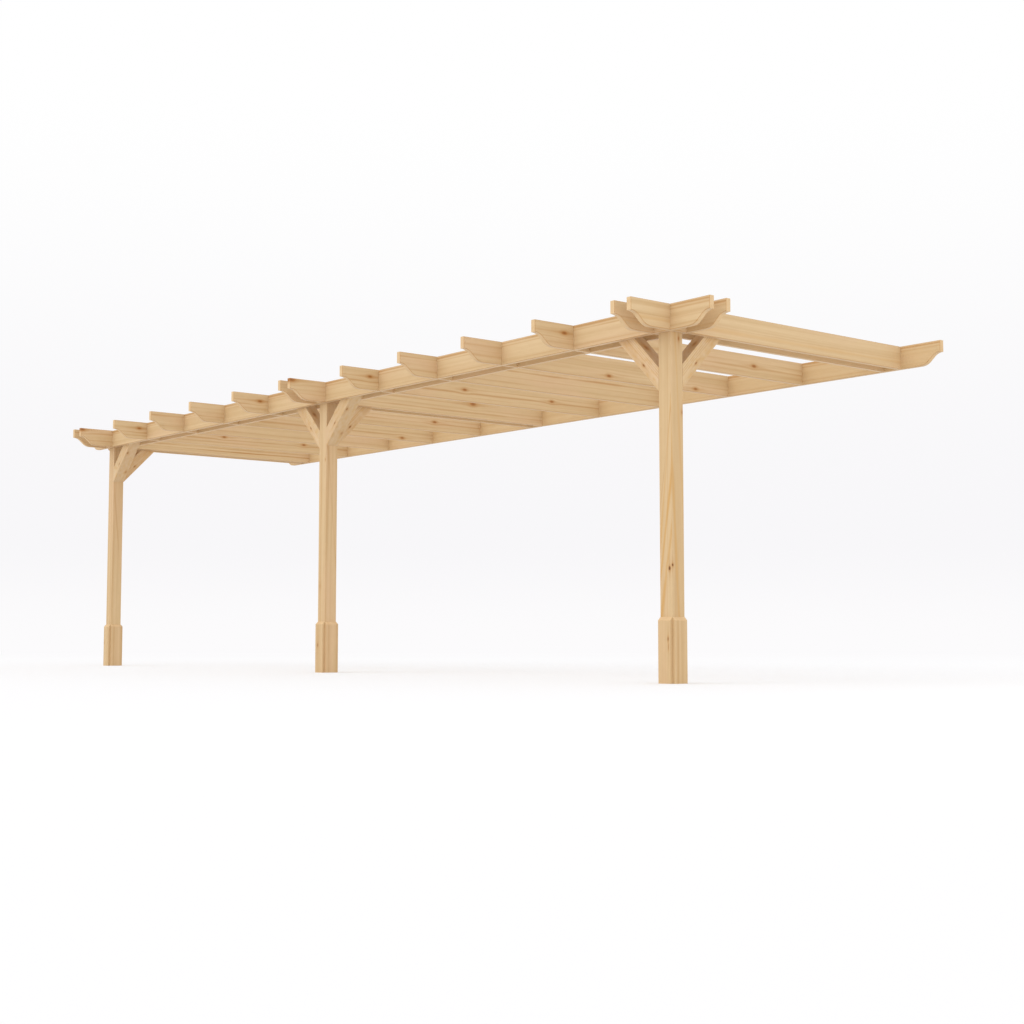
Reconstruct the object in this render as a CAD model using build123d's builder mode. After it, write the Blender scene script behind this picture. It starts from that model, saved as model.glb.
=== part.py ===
from build123d import *
import os
from math import radians, sqrt, tan

# Wall-mounted timber pergola. Three posts in a row carry a pair of front beams, and rafters run
# back from the beams to a plate on the wall. Boards that cross are halved into each other, so
# their tops and undersides are level. All sizes are in millimetres.
# +X runs along the wall, +Y points into the wall and +Z is up.
# The origin is at the middle of the wall plate's back face.

# Overall size
length = 7800.0
projection = 2400.0
height = 2100.0

# Sawn sections, with the eased edges of planed timber
post_size = 95.0
board_thick = 35.0
board_depth = 145.0
arris = 3.0

# Spacing of the rafters: a pair clasps each post, and single ones fill the bays
singles_per_bay = 4

# Shaped ends: a level lip, a hollow, a slope and a belly that runs into the underside
overhang = 300.0
lip_depth = board_depth / 2
lip_length = 4.0
ogee_slope = 42.0
hollow_radius = 85.0
belly_radius = 95.0

# Halved joints: half the depth, with play at each cheek
halving = board_depth / 2
cheek_play = 0.25

# Knee braces: the lower edge runs from this far down the post to this far along the board.
# The ones on a post's left side reach a little further.
brace_reach = {"left": 328.0, "right": 310.0, "rear": 310.0}

# Skirting boards round the foot of each post
skirt_height = 366.0
skirt_thick = 20.0

# Levels
top = board_depth / 2
underside = top - board_depth
ground = top - height

# Places of the posts and rafters
post_y = -(projection - overhang - board_thick - post_size / 2)
bay = length / 2 - overhang - board_thick - post_size / 2
post_places = {"left": -bay, "middle": 0.0, "right": bay}
pair_offset = (post_size + board_thick) / 2
spacing = (bay - 2 * pair_offset) / (singles_per_bay + 1)
paired_x = [x + side * pair_offset for x in post_places.values() for side in (-1, 1)]
single_x = [
    side * (pair_offset + spacing * (place + 1))
    for side in (-1, 1)
    for place in range(singles_per_bay)
]
rafter_x = sorted(paired_x + single_x)

# Corners of the shaped end, measured in from the tip
hollow_corner = lip_length + hollow_radius * tan(radians(ogee_slope / 2))
belly_corner = hollow_corner + (board_depth - lip_depth) / tan(radians(ogee_slope))

os.makedirs("parts", exist_ok=True)


def save(piece, name):
    piece.part.label = name
    export_step(piece.part, f"parts/{name}.step")


def lower_edge_from_tip(tip, inward):
    """Corners of the underside from a board's tip inwards, and the radius at each."""
    lip = top - lip_depth
    corners = [
        (tip, lip),
        (tip + inward * hollow_corner, lip),
        (tip + inward * belly_corner, underside),
    ]
    return corners, [hollow_radius, belly_radius]


def long_board(back_y):
    """A board along the wall, shaped at both ends, with a notch over each rafter place."""
    left, left_radii = lower_edge_from_tip(-length / 2, 1)
    right, right_radii = lower_edge_from_tip(length / 2, -1)
    back = Plane.XZ.offset(-back_y)
    with BuildPart() as board:
        with BuildSketch(back):
            with BuildLine():
                FilletPolyline(*left, *reversed(right), radius=left_radii + right_radii[::-1])
                Polyline(right[0], (length / 2, top), (-length / 2, top), left[0])
            make_face()
        extrude(amount=board_thick)
        fillet(board.faces().filter_by(Axis.Y).edges(), arris)
        with BuildSketch(back):
            with Locations(*[(x, top - halving / 2) for x in rafter_x]):
                Rectangle(board_thick + 2 * cheek_play, halving)
        extrude(amount=board_thick, mode=Mode.SUBTRACT)
    return board


# Front beams, one on each side of the posts, and the plate on the wall
beam_offset = pair_offset
outer_beam = long_board(post_y - beam_offset + board_thick / 2)
save(outer_beam, "front_beam_outer")
inner_beam = long_board(post_y + beam_offset + board_thick / 2)
save(inner_beam, "front_beam_inner")
wall_plate = long_board(0.0)
save(wall_plate, "wall_plate")


# Rafters, shaped at the front tip and halved over the beams and the wall plate
tip_corners, tip_radii = lower_edge_from_tip(-projection, 1)
for number, x in enumerate(rafter_x, start=1):
    side_face = Plane.YZ.offset(x - board_thick / 2)
    with BuildPart() as rafter:
        with BuildSketch(side_face):
            with BuildLine():
                FilletPolyline(*tip_corners, (0, underside), radius=tip_radii)
                Polyline((0, underside), (0, top), (-projection, top), tip_corners[0])
            make_face()
        extrude(amount=board_thick)
        fillet(rafter.faces().filter_by(Axis.X).edges(), arris)
        with BuildSketch(side_face):
            with Locations(*[(post_y + side * beam_offset, underside + halving / 2) for side in (-1, 1)]):
                Rectangle(board_thick + 2 * cheek_play, halving)
            with Locations((-board_thick / 2, underside + halving / 2)):
                Rectangle(board_thick, halving)
        extrude(amount=board_thick, mode=Mode.SUBTRACT)
    save(rafter, f"rafter_{number:02d}")


def knee_brace(x, across, reach):
    """A brace as deep as a post, from the face of the post at x out between the paired boards."""
    inner_reach = reach - post_size * sqrt(2)
    post_face = Vector(x, post_y, 0) + across * (post_size / 2)
    upright = Plane(origin=post_face, x_dir=across, z_dir=across.cross(Vector(0, 0, 1)))
    with BuildPart() as brace:
        with BuildSketch(upright):
            with BuildLine():
                Polyline(
                    (0, underside - reach),
                    (reach + board_depth, top),
                    (inner_reach + board_depth, top),
                    (0, underside - inner_reach),
                    close=True,
                )
            make_face()
        extrude(amount=post_size / 2, both=True)
        fillet(brace.edges().filter_by(Axis(post_face, across + Vector(0, 0, 1))), arris)
    return brace


def skirt_board(x, outward):
    """A skirting board as wide as the post, with its top sloped away at 45 degrees."""
    post_face = Vector(x, post_y, ground) + outward * (post_size / 2)
    section = Plane(origin=post_face, x_dir=outward, z_dir=outward.cross(Vector(0, 0, 1)))
    with BuildPart() as skirt:
        with BuildSketch(section):
            with BuildLine():
                Polyline(
                    (0, 0),
                    (skirt_thick, 0),
                    (skirt_thick, skirt_height - skirt_thick),
                    (0, skirt_height),
                    close=True,
                )
            make_face()
        extrude(amount=post_size / 2, both=True)
        outer_face = skirt.faces().sort_by(Axis(post_face, outward))[-1]
        fillet(outer_face.edges().filter_by(Axis.Z), arris)
    return skirt


# Posts, each with its braces and skirting boards
directions = {
    "left": Vector(-1, 0, 0),
    "right": Vector(1, 0, 0),
    "front": Vector(0, -1, 0),
    "rear": Vector(0, 1, 0),
}
brace_sides = {
    "left": ["right", "rear"],
    "middle": ["left", "right", "rear"],
    "right": ["left", "rear"],
}
for place, x in post_places.items():
    with BuildPart() as post:
        with BuildSketch(Plane.XY.offset(ground)):
            with Locations((x, post_y)):
                Rectangle(post_size, post_size)
        extrude(amount=height)
        fillet(post.edges().filter_by(Axis.Z), arris)
    save(post, f"{place}_post")

    for side in brace_sides[place]:
        brace = knee_brace(x, directions[side], brace_reach[side])
        save(brace, f"{place}_post_brace_{side}")

    for side, outward in directions.items():
        save(skirt_board(x, outward), f"{place}_post_skirt_{side}")
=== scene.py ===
import math
import random
from typing import NamedTuple

import bpy
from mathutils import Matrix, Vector


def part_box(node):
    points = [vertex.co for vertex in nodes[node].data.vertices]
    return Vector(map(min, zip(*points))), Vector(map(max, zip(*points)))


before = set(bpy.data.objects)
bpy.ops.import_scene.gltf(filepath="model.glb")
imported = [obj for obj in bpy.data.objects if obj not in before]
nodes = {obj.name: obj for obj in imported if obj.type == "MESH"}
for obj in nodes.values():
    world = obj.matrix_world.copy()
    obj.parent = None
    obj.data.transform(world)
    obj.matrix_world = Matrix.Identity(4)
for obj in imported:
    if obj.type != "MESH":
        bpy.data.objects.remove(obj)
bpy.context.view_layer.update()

# Levels and places read from the frame, in metres
plate_low, plate_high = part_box("wall_plate")
board_depth = plate_high.z - plate_low.z
board_thick = plate_high.y - plate_low.y
board_top = plate_high.z
post_low, post_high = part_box("middle_post")
post_width = post_high.x - post_low.x
post_half = post_width / 2
post_y = (post_low.y + post_high.y) / 2
ground = post_low.z
post_x = {}
for place in ("left", "middle", "right"):
    low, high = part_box(f"{place}_post")
    post_x[place] = (low.x + high.x) / 2

X, Y, Z = Vector((1, 0, 0)), Vector((0, 1, 0)), Vector((0, 0, 1))


# Shader sums

class Signal:
    """A shader socket that Python's own signs work on."""

    def __init__(self, shade, socket):
        self.shade = shade
        self.socket = socket

    def __add__(self, other):
        return self.shade.math("ADD", self, other)

    __radd__ = __add__

    def __sub__(self, other):
        return self.shade.math("SUBTRACT", self, other)

    def __rsub__(self, other):
        return self.shade.math("SUBTRACT", other, self)

    def __mul__(self, other):
        return self.shade.math("MULTIPLY", self, other)

    __rmul__ = __mul__

    def __truediv__(self, other):
        return self.shade.math("DIVIDE", self, other)

    def __rtruediv__(self, other):
        return self.shade.math("DIVIDE", other, self)

    def __pow__(self, other):
        return self.shade.math("POWER", self, other)

    def __rpow__(self, other):
        return self.shade.math("POWER", other, self)

    def __abs__(self):
        return self.shade.math("ABSOLUTE", self)


class Shade:
    """The nodes of one material or of the world. Numbers and signals mix freely in its sums."""

    def __init__(self, tree):
        self.tree = tree
        tree.nodes.clear()

    def node(self, kind, settings, inputs, output=0):
        """Adds any node: its settings first, then the values or links of its sockets."""
        made = self.tree.nodes.new(kind)
        for key, value in settings.items():
            setattr(made, key, value)
        for key, value in inputs.items():
            if isinstance(value, Signal):
                self.tree.links.new(value.socket, made.inputs[key])
            else:
                made.inputs[key].default_value = value
        return Signal(self, made.outputs[output]) if made.outputs else None

    def math(self, operation, *values):
        return self.node("ShaderNodeMath", {"operation": operation}, dict(enumerate(values)))

    def vector(self, operation, *values, output=0):
        return self.node("ShaderNodeVectorMath", {"operation": operation}, dict(enumerate(values)), output)

    def join(self, x, y, z):
        return self.node("ShaderNodeCombineXYZ", {}, {0: x, 1: y, 2: z})

    def measure(self, place, direction):
        """How far a place lies along a fixed direction."""
        return self.vector("DOT_PRODUCT", place, direction, output="Value")

    def most(self, first, second):
        return self.math("MAXIMUM", first, second)

    def noise(self, place, detail=2.0, roughness=0.5):
        """Smooth noise about zero, mostly within a quarter of one."""
        made = self.node("ShaderNodeTexNoise", {"noise_dimensions": "3D"},
                         {"Vector": place, "Scale": 1.0, "Detail": detail, "Roughness": roughness})
        return made - 0.5

    def rise(self, value, low, high, bottom=0.0, top=1.0):
        """Goes smoothly from bottom to top as the value passes from low to high."""
        return self.node("ShaderNodeMapRange", {"interpolation_type": "SMOOTHSTEP"},
                         {"Value": value, "From Min": low, "From Max": high,
                          "To Min": bottom, "To Max": top})

    def fall(self, value, low, high, top=1.0):
        """Goes smoothly from top to nothing as the value passes from low to high."""
        return self.rise(value, low, high, top, 0.0)

    def hump(self, *squares):
        """One at the middle, falling away as the squares grow."""
        return self.math("EXPONENT", sum(squares[1:], squares[0]) * -1.0)

    def mix(self, share, first, second, blend="MIX"):
        return self.node("ShaderNodeMix", {"data_type": "RGBA", "blend_type": blend},
                         {0: share, 6: first, 7: second}, 2)


def new_material(name):
    material = bpy.data.materials.new(name)
    material.use_nodes = True
    return material


def srgb(red, green, blue):
    """A colour given as it shows on a screen, from 0 to 255."""
    def linear(level):
        level = level / 255
        return level / 12.92 if level <= 0.04045 else ((level + 0.055) / 1.055) ** 2.4
    return (linear(red), linear(green), linear(blue), 1.0)


# Colours of pale, fresh-planed softwood, some also used as painted light and painted shade

PALE = srgb(220, 192, 151)
HONEY = srgb(206, 175, 131)
PINKISH = srgb(219, 184, 148)
LATE_WOOD = srgb(197, 156, 105)
STREAK = srgb(187, 138, 82)
GOLDEN = srgb(206, 161, 98)
# Pale blotches on the braces, and painted light on the narrow faces of beams, plate and rafters, as from
# the floor
PALE_BLOTCH_AND_EDGE_LIGHT = srgb(216, 189, 156)
EDGE_TAN = srgb(200, 170, 133)
# Painted light on the cut ends and on the sloping faces of the tips
END_PAINTED_LIGHT = srgb(230, 197, 154)
KNOT = srgb(176, 119, 64)
KNOT_HEART = srgb(139, 85, 42)
DEAD_KNOT = srgb(104, 68, 38)

# Sizes of the figure, in metres
RING_WIDTH = 0.0042
BAND_WIDTH = 0.030
RING_BEND = 0.030
RING_WOBBLE = 0.008
STREAK_WAVE = 0.014
STREAK_WOBBLE = 0.009
BUMP_HEIGHT = 0.0006


class Knot(NamedTuple):
    """A branch cut across, in metres."""

    place: Vector
    size: float          # half of its width
    deep: bool = False   # whether it goes right through the board
    dark: float = 1.0
    dead: float = 0.0    # how black it is where the branch was dead
    long: float = 2.1    # how many times longer than wide

    @property
    def depth(self):
        return self.size * (12.0 if self.deep else 1.4)


class Streak(NamedTuple):
    """A line along the board, on its two broad faces or on its narrow ones: resinous streaks, and a painted
    shade line beside the eased corners.
    """

    across: float          # from the middle of the face
    half_width: float
    strength: float
    slant: float = 0.0     # how far it strays across the face in each metre
    least: float = 0.3     # the share of it that is left where it fades
    through: bool = False  # whether it lies on the narrow faces
    tint: tuple = STREAK
    at_tip: float = 1.0    # the share of it that is left at a rafter's tip


class Board(Shade):
    """The wood of one board, cut from its own log. From the board's middle, s runs along it,
    w across it and t through it."""

    def __init__(self, tree, centre, along, across, seed):
        super().__init__(tree)
        self.centre = centre
        self.ways = along, across, along.cross(across)
        place = self.vector("SUBTRACT", self.node("ShaderNodeTexCoord", {}, {}, "Object"), centre)
        self.s, self.w, self.t = (self.measure(place, way) for way in self.ways)

        # How squarely a surface faces along, across and through the board
        normal = self.node("ShaderNodeTexCoord", {}, {}, "Normal")
        self.end_on, self.edge_on, self.side_on = (abs(self.measure(normal, way)) for way in self.ways)
        self.broad = self.rise(self.side_on, 0.4, 0.8)
        self.narrow = self.rise(self.edge_on, 0.4, 0.8)

        # The log bends a little, and its rings are never quite round
        luck = random.Random(seed)
        self.shift = [luck.uniform(-40, 40) for _ in range(3)]
        a, b, c = self.shift
        self.bend = self.patches(0.5, 1.2, (a, b, c), 1.0)
        self.wobble = self.patches(2.2, 9.0, (c, a, b))
        self.wave = self.noise(self.join(self.s * 0.9 + c, a, b))

    def patches(self, along, across, shift, detail=2.0, roughness=0.5):
        """Noise with so many patches to the metre along the board and across it."""
        return self.noise(self.join(self.s * along + shift[0], self.w * across + shift[1],
                                    self.t * across + shift[2]), detail, roughness)

    def part_round(self, knots):
        """Parts the grain round the knots. Gives the parted grain's place across the board, and
        the mask, strength and colour of each mark that the knots leave."""
        grain = self.w
        tail = halo = body = heart = dead = 0.0
        for knot in knots:
            at_s, at_w, at_t = ((knot.place - self.centre).dot(way) for way in self.ways)
            down = (self.s - at_s) / (knot.size * knot.long)
            aside = self.w - at_w
            level = aside / knot.size
            inside = (self.t - at_t) / knot.depth
            off = (down ** 2.0 + level ** 2.0 + inside ** 2.0) ** 0.5 + self.wobble * 0.5
            halo = self.most(self.fall(off, 0.8, 2.3, knot.dark), halo)
            body = self.most(self.fall(off, 0.65, 1.1, knot.dark), body)
            heart = self.most(self.fall(off, 0.1, 0.75, knot.dark), heart)
            if knot.dead:
                dead = self.most(self.fall(off, 0.4, 1.0, knot.dead), dead)
            line = self.hump((down / 4.5) ** 2.0, (level / 0.8) ** 2.0, inside ** 2.0)
            tail = self.most(line * knot.dark, tail)
            pull = self.hump((down / 2.4) ** 2.0, (level / 2.4) ** 2.0, inside ** 2.0)
            grain = grain - aside * pull * 0.75
        marks = [(tail, 0.55, STREAK), (halo, 0.55, STREAK), (body, 0.85, KNOT),
                 (heart, 0.7, KNOT_HEART), (dead, 1.0, DEAD_KNOT)]
        return grain, [mark for mark in marks if isinstance(mark[0], Signal)]

    def rings(self, grain, pith):
        """The growth rings round the pith: the thin dark late wood of each year, and the slow
        bands of good and bad years."""
        _, b, c = self.shift
        radius = ((grain - pith[0]) ** 2.0 + (self.t - pith[1]) ** 2.0) ** 0.5
        radius = radius + self.bend * RING_BEND + self.wobble * RING_WOBBLE
        season = self.math("FRACT", radius / RING_WIDTH)
        late = self.rise(season, 0.35, 0.88) * self.fall(season, 0.93, 1.0)
        bands = self.noise(self.join(radius / BAND_WIDTH + b, self.s * 0.3 + c, 0.0), 3.0, 0.65)
        return late, bands

    def streak_line(self, streak, grain):
        """How much of a streak shows. It wanders, swells and fades along the board."""
        a, b, c = self.shift
        off = (self.t if streak.through else grain) - streak.across - self.s * streak.slant
        off = off + self.wave * STREAK_WAVE + self.wobble * STREAK_WOBBLE
        drift = self.noise(self.join(self.s * 1.5 + a, streak.across * 90 + b, c))
        width = self.rise(drift, -0.2, 0.2, 0.6, 1.4) * streak.half_width
        line = self.fall(abs(off) / width, 0.0, 1.0, streak.strength)
        line = line * self.rise(drift, -0.25, 0.12, streak.least, 1.0)
        if streak.at_tip < 1:
            line = line * self.rise(self.s, -0.9, -0.6, streak.at_tip, 1.0)
        return line * (self.narrow if streak.through else self.broad)


def softwood(name, centre, along, across, pith, seed, knots=(), streaks=(), figure=1.0,
             honey=(0.0, 1.0), edge=None, mottle=0.0, rim=0.0):
    """One board's own material. The pith of its log lies at the given place across and through
    the board. Figure is how bold the rings are, honey the least and most share of the darker
    colour in the bands, edge a colour for the narrow faces (the pale one is painted light from
    the floor), mottle the strength of the blotches, and rim the strength of the painted shade
    line along the eased corners."""
    material = new_material(name)
    wood = Board(material.node_tree, centre, along, across, seed)
    a, b, c = wood.shift
    grain, knot_marks = wood.part_round(knots)
    late, bands = wood.rings(grain, pith)
    fibre = wood.patches(7.0, 420.0, (0.0, a, b), 2.0, 0.6)
    fleck = wood.patches(14.0, 75.0, (a, b, 0.0), 1.0)
    cloud = wood.patches(1.1, 6.0, (b, c, 0.0))

    # Bands, clouds and rings
    tone = wood.mix(wood.rise(bands, -0.22, 0.24, *honey), PALE, HONEY)
    tone = wood.mix(wood.rise(cloud, -0.05, 0.25) * 0.5, tone, PINKISH)
    tone = wood.mix(late * wood.rise(bands, -0.2, 0.25, 0.06, 0.45) * figure, tone, LATE_WOOD)
    tone = wood.mix(wood.rise(bands, 0.14, 0.26) * 0.6 * figure, tone, STREAK)

    # Narrow faces: painted paler on beams, plate and rafters as painted light from the floor, tan on the
    # braces. Then the streaks: mostly resin, with a line of painted shade along the narrow faces of beams,
    # plate and rafters
    if edge:
        tone = wood.mix(wood.rise(wood.edge_on, 0.8, 0.97) * 0.5, tone, edge)
    for streak in streaks:
        tone = wood.mix(wood.streak_line(streak, grain), tone, streak.tint)

    # The cut ends and the sloping faces of the tips are painted paler, as painted light from the floor and
    # the side lamp, and are duller; the eased corners get a painted shade line
    endwise = wood.rise(wood.end_on, 0.3, 0.6)
    tone = wood.mix(endwise * 0.45, tone, END_PAINTED_LIGHT)
    if rim:
        # Painted shade: a dark line where the surface turns from a broad face to a narrow one
        corner = wood.rise(wood.side_on, 0.35, 0.65) * wood.fall(wood.side_on, 0.9, 0.995, rim)
        tone = wood.mix(corner, tone, STREAK)

    # Fine fibres, flecks and blotches
    tone = wood.mix(wood.rise(fibre, -0.3, 0.3) * 0.06, tone, HONEY, "MULTIPLY")
    tone = wood.mix(wood.rise(fleck, -0.25, 0.25) * 0.05, tone, HONEY, "MULTIPLY")
    if mottle:
        blotch = wood.patches(24.0, 42.0, (a, b, c))
        tone = wood.mix(wood.rise(blotch, 0.0, 0.2) * mottle, tone, GOLDEN)
        tone = wood.mix(wood.fall(blotch, -0.2, 0.0) * mottle, tone, PALE_BLOTCH_AND_EDGE_LIGHT)
    for mask, share, colour in knot_marks:
        tone = wood.mix(mask * share, tone, colour)

    dullness = 0.62 - late * 0.08 + fibre * 0.10 + endwise * 0.12
    relief = late * 0.35 + fibre * 0.5 + wood.rise(bands, -0.3, 0.3) * 0.1
    bump = wood.node("ShaderNodeBump", {}, {"Strength": 0.35, "Distance": BUMP_HEIGHT, "Height": relief})
    skin = wood.node("ShaderNodeBsdfPrincipled", {},
                     {"Base Color": tone, "Roughness": dullness, "Normal": bump, "Specular IOR Level": 0.3})
    wood.node("ShaderNodeOutputMaterial", {}, {"Surface": skin})
    return material


def dress(node, *wood, **figure):
    """Gives a node its own wood, cut about the middle of its box."""
    low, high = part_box(node)
    slots = nodes[node].data.materials
    slots.clear()
    slots.append(softwood(f"{node}_wood", (low + high) / 2, *wood, **figure))


def spot(place, x, y, z):
    """A place in millimetres from the middle of a post's foot."""
    return Vector((post_x[place] + x / 1000, post_y + y / 1000, ground + z / 1000))


# The first seed of each kind of piece
beam_seed, rafter_seed, post_seed, skirt_seed, brace_seed = 11, 31, 51, 61, 81

# The strength of the painted shade line along the eased corners of beams, plate and rafters
corner_shade_strength = 0.95


# Beams and wall plate: two resin streaks near the top and a faint one near the underside

# Painted shade: a dark line along the narrow faces, a little in from each broad face, beside the eased
# corners
arris_shade_line = Streak(board_thick / 2 - 0.006, 0.005, 0.55, least=0.6, through=True)
beam_streaks = [
    arris_shade_line,
    Streak(board_depth / 2 - 0.013, 0.010, 0.85, least=0.6),
    Streak(board_depth / 2 - 0.032, 0.007, 0.50, least=0.5),
    Streak(-board_depth / 2 + 0.020, 0.006, 0.25),
]
beam_pith = (0.17, 0.05)
# The wall plate gets more of the darker honey colour, which is painted shade
for seed, node in enumerate(["front_beam_outer", "front_beam_inner", "wall_plate"], start=beam_seed):
    dress(node, X, Z, beam_pith, seed, streaks=beam_streaks, figure=0.6,
          honey=(0.5, 1.0) if node == "wall_plate" else (0.0, 0.9), edge=PALE_BLOTCH_AND_EDGE_LIGHT, rim=corner_shade_strength)


# Rafters: a run of three looks that repeats along the wall, with a few boards that differ

# Each knot's distance from the tip and below the top, and half its width
level_knots = [(0.228, 0.054, 0.011), (1.052, 0.064, 0.011), (1.883, 0.072, 0.011)]
low_knots = [(1.215, 0.120, 0.011), (2.035, 0.125, 0.011)]
rafter_knots = {
    2: [(0.012, 0.012, 0.016)],
    3: level_knots,
    5: low_knots,
    6: level_knots,
    7: [(1.760, 0.011, 0.023)],
    8: [(0.014, 0.012, 0.018), (1.656, 0.034, 0.016)],
    9: level_knots,
    11: low_knots,
    12: level_knots,
}
# Each streak's distance below the top, half its width and its strength, for the three looks
rafter_streaks = [
    [(0.054, 0.007, 0.45), (0.086, 0.009, 0.80), (0.116, 0.008, 0.40)],
    [(0.027, 0.010, 0.70), (0.070, 0.006, 0.20), (0.108, 0.008, 0.30)],
    [(0.041, 0.008, 0.60), (0.076, 0.007, 0.35), (0.103, 0.009, 0.75)],
]
streak_boldness = {1: 1.8, 2: 1.8, 7: 0.9, 8: 0.8, 10: 1.2, 11: 0.5, 12: 0.7}
usual_boldness = 0.9
plain_tips = (1, 2, 7, 8)
right_end_pair = (13, 14)
right_end_streaks = [Streak(-0.010, 0.005, 0.25), Streak(-0.028, 0.018, 0.40, least=0.5, tint=GOLDEN)]


def rafter_lines(number):
    """The resin streaks on a rafter's broad faces."""
    if number in right_end_pair:
        return right_end_streaks
    boldness = streak_boldness.get(number, usual_boldness)
    at_tip = 0.5 if number in plain_tips else 1.0
    return [Streak(board_depth / 2 - below_top, half_width, strength * boldness, least=0.1, at_tip=at_tip)
            for below_top, half_width, strength in rafter_streaks[number % 3]]


odd_pith, even_pith = (0.16, 0.05), (-0.18, 0.05)
rafters = sorted(name for name in nodes if name.startswith("rafter_"))
for number, node in enumerate(rafters, start=1):
    low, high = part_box(node)
    knots = [Knot(Vector((high.x, low.y + from_tip, board_top - below_top)), size, deep=True)
             for from_tip, below_top, size in rafter_knots.get(number, [])]
    calm = number % 3 == 1 or number == len(rafters)
    dress(node, Y, Z, odd_pith if number % 2 else even_pith, rafter_seed + number - 1, knots=knots,
          streaks=[arris_shade_line] + rafter_lines(number), figure=0.35 if calm else 0.42,
          honey=(0.0, 0.9), edge=PALE_BLOTCH_AND_EDGE_LIGHT, rim=corner_shade_strength)


# Posts: the right one has bolder figure, which slants up across its front

post_knots = {
    "left": [],
    "middle": [
        Knot(spot("middle", 33, -47.5, 1542), 0.006, dark=0.5),
        Knot(spot("middle", -22, -47.5, 624), 0.009, dark=0.2),
    ],
    "right": [
        Knot(spot("right", 27.5, -47.5, 634), 0.0090, dead=0.9, long=1.5),
        Knot(spot("right", 47.5, -43.0, 652), 0.0046, dead=0.8, long=2.0),
        Knot(spot("right", 47.5, 17.5, 1920), 0.0050, dark=0.8, long=3.0),
        Knot(spot("right", 47.5, 40.0, 1506), 0.0070, dark=0.5),
    ],
}
post_streaks = {
    "left": [
        Streak(0.020, 0.012, 0.25),
        Streak(0.015, 0.009, 0.40, -0.095, through=True),
        Streak(-0.034, 0.010, 0.25, 0.010, through=True),
    ],
    "middle": [
        Streak(-0.015, 0.012, 0.25),
        Streak(0.018, 0.009, 0.40, -0.090, through=True),
        Streak(-0.036, 0.010, 0.25, 0.012, through=True),
    ],
    "right": [
        Streak(0.077, 0.020, 0.90, 0.168, least=0.6, tint=GOLDEN),
        Streak(0.029, 0.018, 1.00, 0.156, least=0.8, tint=GOLDEN),
        Streak(-0.012, 0.012, 0.80, 0.111, least=0.5, tint=GOLDEN),
        Streak(-0.030, 0.004, 0.45, 0.156),
        Streak(0.014, 0.003, 0.50, 0.010),
        Streak(-0.036, 0.016, 0.75, -0.058, least=0.6, through=True, tint=GOLDEN),
        Streak(0.036, 0.010, 0.40, -0.055, through=True, tint=GOLDEN),
        Streak(0.020, 0.003, 0.30, 0.010, through=True),
    ],
}
post_pith = (0.11, 0.13)
for seed, place in enumerate(post_x, start=post_seed):
    bold = place == "right"
    dress(f"{place}_post", Z, X, post_pith, seed, knots=post_knots[place], streaks=post_streaks[place],
          figure=0.5 if bold else 0.6, honey=(0.35, 0.95) if bold else (0.05, 1.0))


# Skirting boards: upright grain, with streaks on the left and right ones

skirt_knots = {
    "left_post_skirt_front": [Knot(spot("left", -39.5, -67.5, 205), 0.009, dark=0.35)],
    "middle_post_skirt_front": [Knot(spot("middle", -13.5, -67.5, 197), 0.008, dark=0.5, dead=0.35)],
    "right_post_skirt_front": [
        Knot(spot("right", 31.5, -67.5, 245), 0.0045, dark=0.9, dead=0.4, long=3.0),
        Knot(spot("right", 34.5, -67.5, 200), 0.0030, dark=0.5, long=7.0),
    ],
}
skirt_streaks = [Streak(-0.027, 0.012, 0.36), Streak(0.041, 0.009, 0.26), Streak(0.008, 0.005, 0.10)]
skirt_pith = (0.12, 0.06)
skirts = sorted(name for name in nodes if "skirt" in name)
for seed, node in enumerate(skirts, start=skirt_seed):
    faces_side = node.endswith(("left", "right"))
    dress(node, Z, Y if faces_side else X, skirt_pith, seed, knots=skirt_knots.get(node, []),
          streaks=skirt_streaks if faces_side else [],
          honey=(0.5, 1.0) if node == "right_post_skirt_front" else (0.2, 1.0))


# Braces: the same few knots on each, and a tan zone along the lower edge under fine lines

brace_slant = {"left": Vector((-1, 0, 1)), "right": Vector((1, 0, 1)), "rear": Vector((0, 1, 1))}
side_knot_height = {"left": 0.199, "right": 0.183, "rear": 0.183}
fine_lines = (0.050, 0.062, 0.074, 0.086)
brace_pith = (-0.12, 0.10)


def brace_knots(foot, grain, inward, face, height):
    """Knots placed from the foot of the lower edge: on the side that shows, at both edges of
    the underside, and on the upper face."""
    def at(up, deeper, out):
        return foot + grain * up + inward * deeper + face * out

    return [
        Knot(at(height, 0.031, post_half), 0.0062, dark=0.8, dead=0.35),
        Knot(at(0.338, 0.0, post_half - 0.017), 0.0058, dark=0.7, dead=0.2),
        Knot(at(0.120, 0.0, 0.019 - post_half), 0.0085, dark=0.4),
        Knot(at(0.193 + post_width, post_width, 0.008), 0.0120, dark=0.6),
    ]


braces = sorted(name for name in nodes if "brace" in name)
for seed, node in enumerate(braces, start=brace_seed):
    place, side = node.split("_")[0], node.rsplit("_", 1)[1]
    outward = brace_slant[side] - Z
    grain = brace_slant[side].normalized()
    inward = (Z - outward).normalized()
    foot = Vector((post_x[place], post_y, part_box(node)[0].z)) + outward * post_half
    face = X if side == "rear" else -Y
    tan, fine = (0.3, 0.15) if side == "right" else (0.42, 0.45)
    streaks = [Streak(0.022, 0.045, tan, 0.11, least=0.8, tint=LATE_WOOD)]
    streaks += [Streak(across, 0.005, fine, least=0.5) for across in fine_lines]
    dress(node, grain, inward, brace_pith, seed,
          knots=brace_knots(foot, grain, inward, face, side_knot_height[side]), streaks=streaks,
          figure=0.25, honey=(0.05, 0.4) if side == "rear" else (0.0, 0.2), edge=EDGE_TAN, mottle=0.4)


# Floor and backdrop

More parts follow.
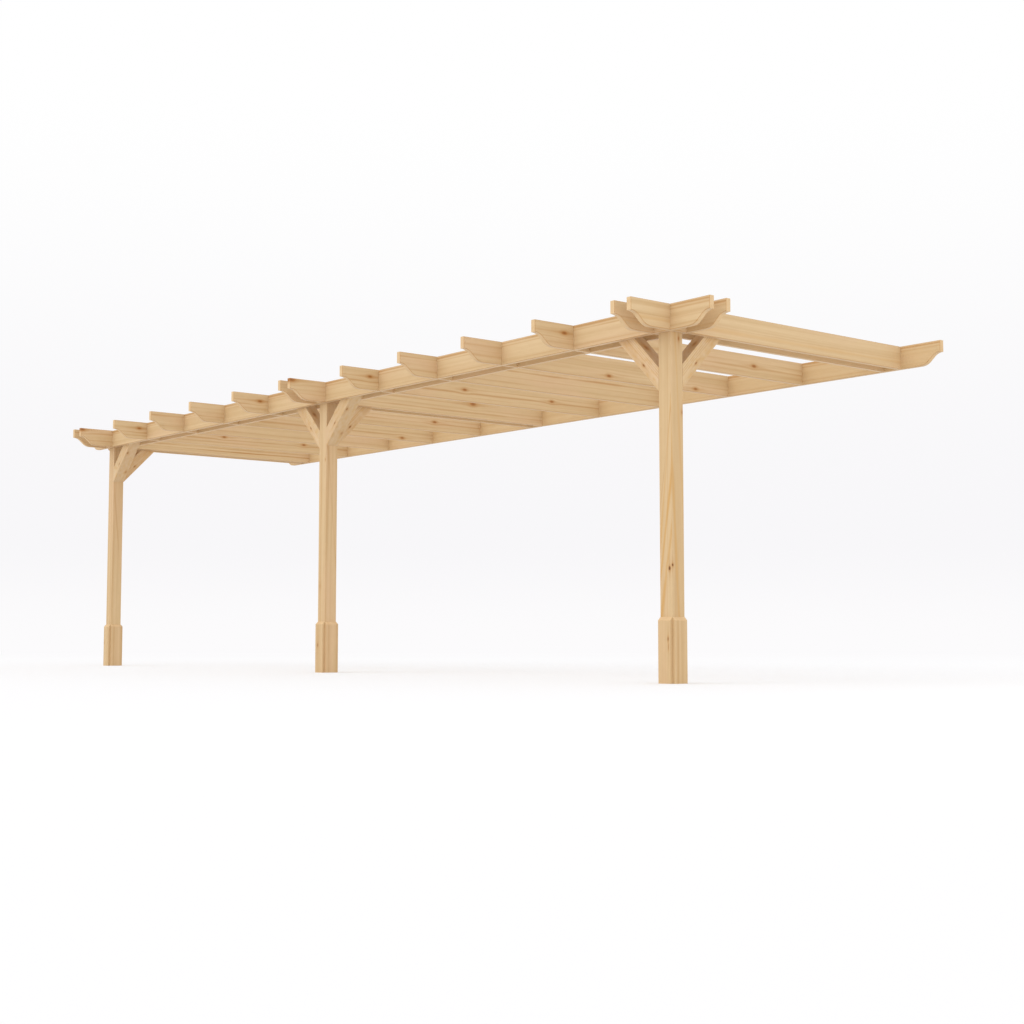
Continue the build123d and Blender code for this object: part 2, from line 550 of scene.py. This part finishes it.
BACKDROP_LOW = srgb(252, 251, 252)
BACKDROP_MIDDLE = srgb(248, 247, 249)
BACKDROP_HIGH = srgb(255, 255, 255)
FLOOR_MATT = (0.81, 0.81, 0.80, 1)
FLOOR_SHADOWED = (0.815, 0.82, 0.845, 1)
FLOOR_GLOW = 0.055
WHITE = (1, 1, 1, 1)

floor_middle = (6.0, -6.0, ground)
floor_near, floor_far = 6.0, 22.0
floor_reach = 60.0


def shown_directly(shade):
    """One where the camera, a reflection or clear glass shows the surface itself."""
    ray = shade.node("ShaderNodeLightPath", {}, {}, "Is Camera Ray")
    for way in ("Is Glossy Ray", "Is Transmission Ray"):
        ray = shade.most(ray, shade.node("ShaderNodeLightPath", {}, {}, way))
    return ray


def floor_white():
    """A white floor that takes soft shadows, and far away turns into the backdrop."""
    material = new_material("studio_floor_white")
    shade = Shade(material.node_tree)
    matt = shade.node("ShaderNodeBsdfDiffuse", {}, {"Color": FLOOR_MATT})
    shadowed = shade.node("ShaderNodeBsdfDiffuse", {}, {"Color": FLOOR_SHADOWED})
    glow = shade.node("ShaderNodeEmission", {}, {"Color": WHITE, "Strength": FLOOR_GLOW})
    near = shade.node("ShaderNodeAddShader", {}, {0: shadowed, 1: glow})
    far = shade.node("ShaderNodeEmission", {}, {"Color": BACKDROP_LOW, "Strength": 1.0})
    place = shade.node("ShaderNodeTexCoord", {}, {}, "Object")
    away = shade.rise(shade.vector("DISTANCE", place, floor_middle, output="Value"), floor_near, floor_far)
    shown = shade.node("ShaderNodeMixShader", {}, {0: away, 1: near, 2: far})
    both = shade.node("ShaderNodeMixShader", {}, {0: shown_directly(shade), 1: matt, 2: shown})
    shade.node("ShaderNodeOutputMaterial", {}, {"Surface": both})
    return material


mesh = bpy.data.meshes.new("studio_floor")
corners = [(x * floor_reach, y * floor_reach, ground) for x, y in ((-1, -1), (1, -1), (1, 1), (-1, 1))]
mesh.from_pydata(corners, [], [(0, 1, 2, 3)])
mesh.materials.append(floor_white())
floor = bpy.data.objects.new("studio_floor", mesh)
bpy.context.scene.collection.objects.link(floor)


# Light

DAYLIGHT = (1, 0.99, 0.97, 1)
daylight_strength = 1.05
low_band, high_band = 0.06, 0.34

scene = bpy.context.scene
scene.view_settings.view_transform = "Standard"

world = bpy.data.worlds.new("studio_sky")
scene.world = world
world.use_nodes = True
sky = Shade(world.node_tree)
daylight = sky.node("ShaderNodeBackground", {}, {"Color": DAYLIGHT, "Strength": daylight_strength})
upward = sky.measure(sky.node("ShaderNodeTexCoord", {}, {}, "Generated"), Z)
tone = sky.mix(sky.rise(upward, 0.0, low_band), BACKDROP_LOW, BACKDROP_MIDDLE)
tone = sky.mix(sky.rise(upward, low_band, high_band), tone, BACKDROP_HIGH)
paper = sky.node("ShaderNodeBackground", {}, {"Color": tone, "Strength": 1.0})
either = sky.node("ShaderNodeMixShader", {}, {0: shown_directly(sky), 1: daylight, 2: paper})
sky.node("ShaderNodeOutputWorld", {}, {"Surface": either})


def aim(held, back):
    """Turns a lamp so that its light leaves the place that back points to."""
    held.rotation_mode = "QUATERNION"
    held.rotation_quaternion = back.to_track_quat("Z", "Y")
    scene.collection.objects.link(held)


# A broad soft light from the front left, high up: azimuth 0 is straight in front
azimuth, elevation = math.radians(-15), math.radians(40)
level = math.cos(elevation)
sun = bpy.data.lights.new("front_light", "SUN")
sun.energy = 0.54
sun.angle = math.radians(50)
sun.color = (1.0, 1.0, 0.99)
aim(bpy.data.objects.new("front_light", sun),
    Vector((math.sin(azimuth) * level, -math.cos(azimuth) * level, math.sin(elevation))))

# A low panel off the right end fills the sides that face it
panel = bpy.data.lights.new("side_light", "AREA")
panel.shape = "RECTANGLE"
panel.size, panel.size_y = 4.0, 3.0
panel.energy = 23.0
stand = bpy.data.objects.new("side_light", panel)
stand.location = (9.0, post_y + 0.6, ground + 1.5)
stand.visible_camera = False
aim(stand, X)


# Camera: low, off the right front corner, looking slightly up

sensor_width = 36.0
image_pixels = 1024
focal_pixels = 1583.46
tilt_up, turn = 4.4997, 50.6544
camera = bpy.data.cameras.new("studio_camera")
camera.sensor_width = sensor_width
camera.lens = sensor_width * focal_pixels / image_pixels
camera.clip_end = 200
eye = bpy.data.objects.new("studio_camera", camera)
eye.location = (9.7458, post_y - 6.2550, ground + 0.2578)
eye.rotation_mode = "XYZ"
eye.rotation_euler = (math.radians(90 + tilt_up), 0, math.radians(turn))
scene.collection.objects.link(eye)
scene.camera = eye
